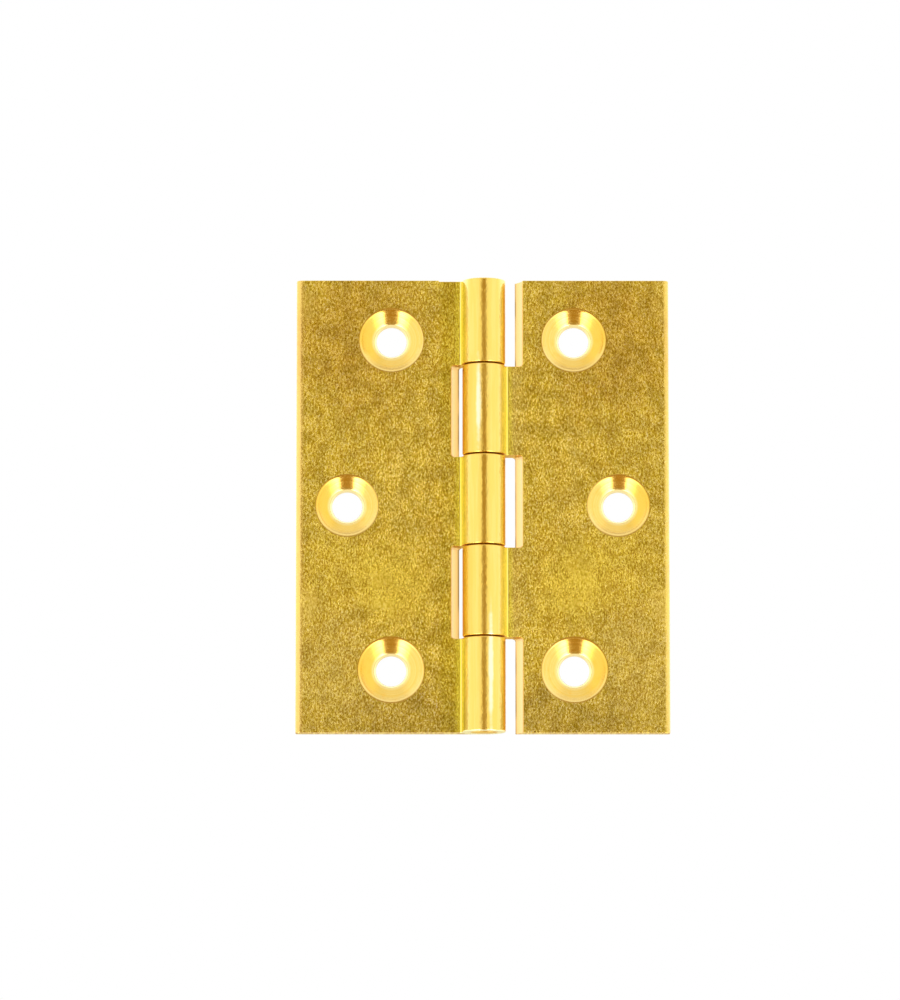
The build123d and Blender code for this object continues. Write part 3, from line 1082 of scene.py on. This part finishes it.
def sink_tool(centre, row):
    """A countersunk screw hole with a broken rim, slightly dished, cut along +Y from the front."""
    rim = sink_radius[row] + rim_break_width
    shoulder = sink_radius[row] - rim_break_depth * SINK_SLOPE
    foot = hole_radius + foot_break_width
    depth = (sink_radius[row] - foot) / SINK_SLOPE
    through = leaf_thickness + overrun
    profile = [(0, -overrun), (rim, -overrun), (rim, 0)]
    for i in range(SINK_STEPS + 1):
        along = i / SINK_STEPS
        straight = rim_break_depth + along * (depth - rim_break_depth)
        dished = straight + 4 * sink_dish * along * (1 - along)
        profile.append((shoulder + along * (foot - shoulder), dished))
    profile += [(hole_radius, depth + foot_break_depth), (hole_radius, through), (0, through)]
    turn_to_y = Matrix.Rotation(-QUARTER_TURN, 4, "X")
    place = Matrix.Translation((centre.x, front_face, centre.z)) @ turn_to_y
    return turned("sink_tool", profile, "turned_sink", SINK_TURN_STEPS, place)


# %% [markdown]
# Each tool becomes one Boolean modifier on the blank. The exact solver copes with the many thin faces,
# and transferring materials gives each cut the finish of its tool.

# %% Cut a blank into a leaf


def leaf_tools(name):
    """All the cuts that make a drawn blank into a leaf, in the maker's order."""
    tools = [bore_tool()]
    tools += [notch_tool(name, i) for i in range(KNUCKLES) if i not in own_knuckles[name]]
    tools += [sink_tool(holes[name][row], row) for row in HOLE_ROWS]
    if name == "fixed_leaf":
        tools += [spotface_tool(), rivet_seat_tool(barrel_top, 1), rivet_seat_tool(leaf_bottom, -1)]
    return tools


def cut(obj, tools):
    """Takes each tool's shape away from the object and removes the tools."""
    for tool in tools:
        boolean = obj.modifiers.new("cut", "BOOLEAN")
        boolean.operation = "DIFFERENCE"
        boolean.solver = "EXACT"
        boolean.material_mode = "TRANSFER"
        boolean.object = tool
    bake_modifiers(obj)
    for tool in tools:
        bpy.data.objects.remove(tool)
    print(obj.name, "cut with", len(tools), "tools")


# %% [markdown]
# Cutting leaves thin slivers in the flat faces, on which a bevel would fold over itself, so flat
# neighbours are joined first. The knuckles' rims are softened more than other edges. That extra fades out
# towards the plate, where the rim runs into plainer edges, because a sudden step in a bevel's width
# leaves a dark corner.

# %% Soften the edges
SHARP_ANGLE = math.radians(25)
FLAT_ANGLE = math.radians(0.5)
edge_softening = 0.1 * MM
rim_softening = 0.2 * MM
rim_fade = 1.6 * MM
SOFT_STEPS = 3
on_rim = 0.01 * MM
sliver = 0.004 * MM
print("edges softened by", round(edge_softening / MM, 2), "mm, rims by", round(rim_softening / MM, 2), "mm")


def rim_share(edge, name):
    """1 for an edge round the end of a knuckle, fading to 0 towards the plate, and 0 for any other edge."""
    start, end = (vert.co for vert in edge.verts)
    on_barrel = all(abs(point.xy.length - barrel_radius) < on_rim for point in (start, end))
    if not on_barrel or abs(start.z - end.z) > on_rim:
        return 0.0
    middle = (start + end) / 2
    plate = root_y if side[name] * middle.x > 0 else back_face
    return min(max((plate - middle.y) / rim_fade, 0.0), 1.0)


def weigh_edges(mesh, name):
    """Joins flat neighbours, and gives every sharp edge that stands out a weight for the bevel."""
    shape = bmesh.new()
    shape.from_mesh(mesh)
    bmesh.ops.remove_doubles(shape, verts=shape.verts, dist=sliver)
    bmesh.ops.dissolve_degenerate(shape, edges=shape.edges, dist=sliver)
    bmesh.ops.dissolve_limit(shape, angle_limit=FLAT_ANGLE, verts=shape.verts, edges=shape.edges,
                             delimit={"MATERIAL"})
    weight = shape.edges.layers.float.new("bevel_weight_edge")
    for edge in shape.edges:
        if edge.calc_face_angle_signed(0.0) > SHARP_ANGLE:
            width = edge_softening + rim_share(edge, name) * (rim_softening - edge_softening)
            edge[weight] = width / rim_softening
    shape.to_mesh(mesh)
    shape.free()


def soften(obj, name):
    """Rounds the edges that stand out, keeps flat faces flat in shading, and lets nothing pass the back."""
    weigh_edges(obj.data, name)
    bevel = obj.modifiers.new("soften", "BEVEL")
    bevel.width = rim_softening
    bevel.segments = SOFT_STEPS
    bevel.limit_method = "WEIGHT"
    bevel.use_clamp_overlap = False
    bevel.miter_outer = "MITER_ARC"
    smooth = obj.modifiers.new("flat_faces", "WEIGHTED_NORMAL")
    smooth.keep_sharp = True
    for vertex in bake_modifiers(obj).vertices:
        vertex.co.y = min(vertex.co.y, back_face)


# %% [markdown]
# The finishes of the countersinks and the barrel need to know where a point lies on its own piece. Two
# vectors are stored on the points for that, and the finishes read them by name. Then each leaf is made,
# and takes the place of its CAD node on the body that carries it.

# %% Make the leaves


def store_hole_and_barrel_place(obj, name):
    """Keeps each point's distance and sides from the nearest hole, and its side of the barrel."""
    hole_and_barrel, rim = [], []
    for vertex in obj.data.vertices:
        x, _, z = vertex.co
        away, row = min((math.hypot(x - c.x, z - c.z), row) for row, c in holes[name].items())
        centre = holes[name][row]
        outwards = side[name] * (x - centre.x) / max(away, MM)
        downwards = (centre.z - z) / max(away, MM)
        hole_and_barrel += [away, outwards, -side[name] * x / barrel_radius]
        rim += [away - sink_radius[row], downwards, 0.0]
    for label, values in (("hole_and_barrel_place", hole_and_barrel), ("rim_place", rim)):
        obj.data.attributes.new(label, "FLOAT_VECTOR", "POINT").data.foreach_set("vector", values)


body_of = {node: body for body, nodes in frame["record"]["behaviour"]["bodies"].items() for node in nodes}
for leaf in LEAVES:
    piece = drawn_blank(leaf)
    cut(piece, leaf_tools(leaf))
    soften(piece, leaf)
    store_hole_and_barrel_place(piece, leaf)
    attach(piece, body_of[leaf])
    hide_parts(leaf)
    print(piece.name, len(piece.data.polygons), "faces")

# %% [markdown]
# ## The pin
# The pin is drawn wire. Only its ends show: each was hammered out into the tapered mouth of the end
# knuckle and filed back, which leaves a shallow, dented dome. The lathe tree makes it from half a
# section.

# %% Turn the pin
rivet_dome = 0.1 * MM
DOME_STEPS = 12


def head(end, outwards):
    """Profile of one rivet head from the pin's side to the middle of its dome."""
    radius = (rivet_head_radius**2 + rivet_dome**2) / (2 * rivet_dome)
    middle = end + outwards * (rivet_dome - radius)
    edge_angle = math.degrees(math.acos(rivet_head_radius / radius))
    dome = arc((0, middle), radius, outwards * edge_angle, outwards * 90, DOME_STEPS)
    return [(pin_radius, end - outwards * rivet_head_depth), *dome[:-1], (0, end + outwards * rivet_dome)]


pin_profile = head(leaf_bottom, -1)[::-1] + head(barrel_top, 1)
pin = turned("hinge_pin_brass", pin_profile, "hammered_wire", PIN_STEPS)
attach(pin, body_of["hinge_pin"])
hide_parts("hinge_pin")
print("pin", len(pin.data.polygons), "faces")
